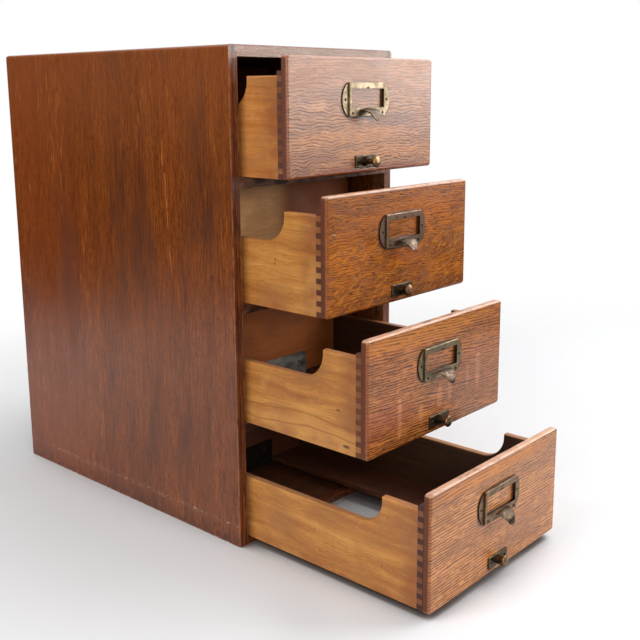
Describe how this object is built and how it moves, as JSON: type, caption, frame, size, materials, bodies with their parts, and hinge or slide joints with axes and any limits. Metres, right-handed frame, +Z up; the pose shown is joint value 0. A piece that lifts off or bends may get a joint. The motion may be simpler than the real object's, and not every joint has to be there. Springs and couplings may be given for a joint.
{
  "type": "desktop file cabinet",
  "caption": "Oak desktop file cabinet with sliding drawers, brass label pulls, card rods and sliding followers, partly pulled open.",
  "frame": {"origin": "centre of the case's footprint, on the surface that the case stands on", "axes": "+Z up, the drawers open towards -Y, +X to the right when facing the drawer fronts"},
  "size_m": [0.267, 0.6906, 0.5475],
  "materials": {
    "oak_case": "dark reddish-brown stained oak, satin varnish, worn edges",
    "oak_front": "quarter-sawn oak with ray fleck, satin varnish",
    "light_wood": "honey-coloured wood, thin varnish",
    "inside_wood": "dark reddish-brown wood, dull",
    "aged_brass": "aged, bronze-olive patina with rubbed high spots",
    "steel": "dull grey steel",
    "iron": "dark nail heads"
  },
  "bodies": {
    "cabinet": {"side_panel_left": "oak_case", "side_panel_right": "oak_case", "front_stiles": "oak_case", "top_panel": "oak_case", "top_rail": "oak_case", "divider_rails": "oak_case", "bottom_rail": "oak_case", "bottom_panel": "inside_wood", "back_panel": "oak_case", "drawer_runners": "inside_wood", "drawer_stops": "inside_wood", "case_nails": "iron"},
    "drawer_1": {"drawer_front_1": "oak_front", "drawer_side_left_1": "light_wood", "drawer_side_right_1": "light_wood", "drawer_back_1": "light_wood", "drawer_floor_1": "inside_wood", "label_pull_1": "aged_brass", "rod_plate_1": "aged_brass", "drawer_screws_1": "aged_brass"},
    "follower_1": {"follower_board_1": "inside_wood", "follower_plate_1": "steel"},
    "rod_1": {"card_rod_1": "aged_brass"},
    "drawer_2": {"drawer_front_2": "oak_front", "drawer_side_left_2": "light_wood", "drawer_side_right_2": "light_wood", "drawer_back_2": "light_wood", "drawer_floor_2": "inside_wood", "label_pull_2": "aged_brass", "rod_plate_2": "aged_brass", "drawer_screws_2": "aged_brass"},
    "follower_2": {"follower_board_2": "inside_wood", "follower_plate_2": "steel"},
    "rod_2": {"card_rod_2": "aged_brass"},
    "drawer_3": {"drawer_front_3": "oak_front", "drawer_side_left_3": "light_wood", "drawer_side_right_3": "light_wood", "drawer_back_3": "light_wood", "drawer_floor_3": "inside_wood", "label_pull_3": "aged_brass", "rod_plate_3": "aged_brass", "drawer_screws_3": "aged_brass"},
    "follower_3": {"follower_board_3": "inside_wood", "follower_plate_3": "steel"},
    "rod_3": {"card_rod_3": "aged_brass"},
    "drawer_4": {"drawer_front_4": "oak_front", "drawer_side_left_4": "light_wood", "drawer_side_right_4": "light_wood", "drawer_back_4": "light_wood", "drawer_floor_4": "inside_wood", "label_pull_4": "aged_brass", "rod_plate_4": "aged_brass", "drawer_screws_4": "aged_brass"},
    "follower_4": {"follower_board_4": "inside_wood", "follower_plate_4": "steel"},
    "rod_4": {"rod_knob_4": "aged_brass"}
  },
  "joints": [
    {"name": "drawer_1_slide", "type": "slide", "parent": "cabinet", "child": "drawer_1", "axis": [0, -1, 0], "range_m": [-0.0693, 0.2307]},
    {"name": "follower_1_slide", "type": "slide", "parent": "drawer_1", "child": "follower_1", "axis": [0, -1, 0], "range_m": [-0.131, 0.205]},
    {"name": "rod_1_pull", "type": "slide", "parent": "drawer_1", "child": "rod_1", "axis": [0, -1, 0], "range_m": [-0.006, 0.38]},
    {"name": "drawer_2_slide", "type": "slide", "parent": "cabinet", "child": "drawer_2", "axis": [0, -1, 0], "range_m": [-0.1199, 0.1801]},
    {"name": "follower_2_slide", "type": "slide", "parent": "drawer_2", "child": "follower_2", "axis": [0, -1, 0], "range_m": [-0.216, 0.12]},
    {"name": "rod_2_pull", "type": "slide", "parent": "drawer_2", "child": "rod_2", "axis": [0, -1, 0], "range_m": [-0.0005, 0.38]},
    {"name": "drawer_3_slide", "type": "slide", "parent": "cabinet", "child": "drawer_3", "axis": [0, -1, 0], "range_m": [-0.1713, 0.1287]},
    {"name": "follower_3_slide", "type": "slide", "parent": "drawer_3", "child": "follower_3", "axis": [0, -1, 0], "range_m": [-0.14, 0.196]},
    {"name": "rod_3_pull", "type": "slide", "parent": "drawer_3", "child": "rod_3", "axis": [0, -1, 0], "range_m": [-0.003, 0.38]},
    {"name": "drawer_4_slide", "type": "slide", "parent": "cabinet", "child": "drawer_4", "axis": [0, -1, 0], "range_m": [-0.2479, 0.0521]},
    {"name": "follower_4_slide", "type": "slide", "parent": "drawer_4", "child": "follower_4", "axis": [0, -1, 0], "range_m": [0, 0.336]},
    {"name": "rod_4_pull", "type": "slide", "parent": "drawer_4", "child": "rod_4", "axis": [0, -1, 0], "range_m": [0, 0.025]}
  ]
}
